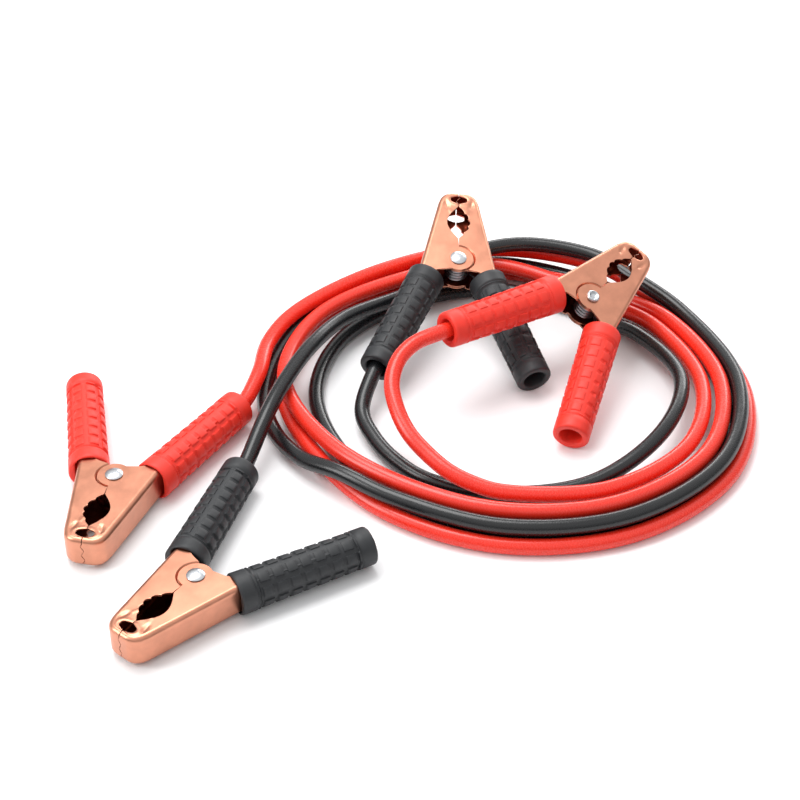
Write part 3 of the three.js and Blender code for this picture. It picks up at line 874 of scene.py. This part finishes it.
class JUMPER_OT_sleeves(bpy.types.Operator):
    """Mould the eight grip sleeves"""

    bl_idname = "jumper.sleeves"
    bl_label = "Grip sleeves"

    def execute(self, context):
        look = finishes()
        settings = context.scene.jumper_clamp
        for clamp, (_, _, _, _, side, _, _) in CLAMPS.items():
            colour = clamp.split("_")[1]
            for node, where in (("cable_sleeve", side), ("free_sleeve", -side)):
                name = f"{clamp}_{node}_grip"
                piece = sleeve(name, clamp, where, look[colour + "_sleeve"], settings)
                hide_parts(f"{clamp}_{node}")
                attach(piece, body_of(clamp, node == "free_sleeve"))
        return {"FINISHED"}


class JUMPER_OT_pivots(bpy.types.Operator):
    """Set the rivets and the torsion springs"""

    bl_idname = "jumper.pivots"
    bl_label = "Rivets and springs"

    def execute(self, context):
        look = finishes()
        path, half = spring_path()
        for clamp, (_, _, _, _, side, _, head) in CLAMPS.items():
            rivet = lathe(f"{clamp}_rivet_turned", rivet_profile(), clamp, head, look["zinc"])
            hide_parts(f"{clamp}_rivet")
            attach(rivet, "lead_set")
            line = place(path, clamp)
            spring = tube(f"{clamp}_spring_wire", line, SPRING_WIRE_RADIUS * MM, 12, look["spring"])
            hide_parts(f"{clamp}_spring")
            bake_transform(spring)
        return {"FINISHED"}


def aim(thing, spot, target):
    thing.location = [c * MM for c in spot]
    way = Vector(target) * MM - thing.location
    thing.rotation_euler = way.to_track_quat("-Z", "Y").to_euler()


def soft_light(name, spot, size, power, target=VIEW_TARGET):
    lamp = bpy.data.lights.new(name, "AREA")
    lamp.shape = "RECTANGLE"
    lamp.size, lamp.size_y = (s * MM for s in size)
    lamp.energy = power
    light = bpy.data.objects.new(name, lamp)
    bpy.context.scene.collection.objects.link(light)
    aim(light, spot, target)


def studio_world():
    """White room: bright above and dimmer towards the horizon, so that metal has something to mirror."""
    world = bpy.data.worlds.new("studio")
    world.use_nodes = True
    tree = world.node_tree
    way = add_node(tree, "ShaderNodeTexCoord").outputs["Generated"]
    height = add_node(tree, "ShaderNodeSeparateXYZ", Vector=way).outputs["Z"]
    level = add_node(tree, "ShaderNodeMapRange", Value=height, _1=0.0, _2=0.75, _3=0.2, _4=1.0)
    tree.links.new(level.outputs[0], tree.nodes["Background"].inputs["Strength"])
    tree.nodes["Background"].inputs["Color"].default_value = (1.0, 1.0, 1.0, 1.0)
    return world


class JUMPER_OT_stage(bpy.types.Operator):
    """Set up the camera, the pale floor and the soft studio light"""

    bl_idname = "jumper.stage"
    bl_label = "Stage"

    def execute(self, context):
        lens = bpy.data.cameras.new("view")
        lens.sensor_width = 36.0
        lens.lens = VIEW_LENS
        lens.clip_start = 0.01
        camera = bpy.data.objects.new("view", lens)
        context.scene.collection.objects.link(camera)
        x, y, z = VIEW_TARGET
        reach, height = math.cos(VIEW_ELEVATION), math.sin(VIEW_ELEVATION)
        aim(camera, (x, y - VIEW_DISTANCE * reach, z + VIEW_DISTANCE * height), VIEW_TARGET)
        context.scene.camera = camera
        size = 3.0
        corners = [(-size, -size, 0), (size, -size, 0), (size, size, 0), (-size, size, 0)]
        floor = mesh_from("floor", corners, [(0, 1, 2, 3)])
        paper = shader("matt_white_paper", linear("#F6F6F7"), 0.0, 0.7)[0]
        new_object("floor", floor, paper)
        context.scene.world = studio_world()
        context.scene.view_settings.view_transform = "Standard"
        soft_light("overhead_softbox", (-250, 350, 1300), (900, 700), 12.0)
        soft_light("left_softbox", (-1200, -300, 800), (400, 900), 8.0)
        soft_light("back_softbox", (500, 1300, 600), (1200, 250), 8.0)
        return {"FINISHED"}


STEPS = (JUMPER_OT_stage, JUMPER_OT_leads, JUMPER_OT_jaws, JUMPER_OT_sleeves, JUMPER_OT_pivots)


class JUMPER_PT_panel(bpy.types.Panel):
    """Sizes, colours and building steps of the jumper cable"""

    bl_idname = "JUMPER_PT_panel"
    bl_label = "Jumper Cable"
    bl_space_type = "VIEW_3D"
    bl_region_type = "UI"
    bl_category = "Jumper Cable"

    def draw(self, context):
        for group in ("jumper_cable", "jumper_clamp", "jumper_colours"):
            settings = getattr(context.scene, group)
            for name in settings.__annotations__:
                self.layout.prop(settings, name)
        for step in STEPS:
            self.layout.operator(step.bl_idname)


GROUPS = {
    "jumper_cable": JumperCableSettings,
    "jumper_clamp": JumperClampSettings,
    "jumper_colours": JumperColourSettings,
}


def register():
    for name, group in GROUPS.items():
        bpy.utils.register_class(group)
        setattr(bpy.types.Scene, name, bpy.props.PointerProperty(type=group))
    for step in (*STEPS, JUMPER_PT_panel):
        bpy.utils.register_class(step)


def unregister():
    for step in (*STEPS, JUMPER_PT_panel):
        bpy.utils.unregister_class(step)
    for name, group in GROUPS.items():
        delattr(bpy.types.Scene, name)
        bpy.utils.unregister_class(group)


def main():
    register()
    bpy.ops.jumper.stage()
    bpy.ops.jumper.leads()
    bpy.ops.jumper.jaws()
    bpy.ops.jumper.sleeves()
    bpy.ops.jumper.pivots()


if __name__ == "__main__":
    main()
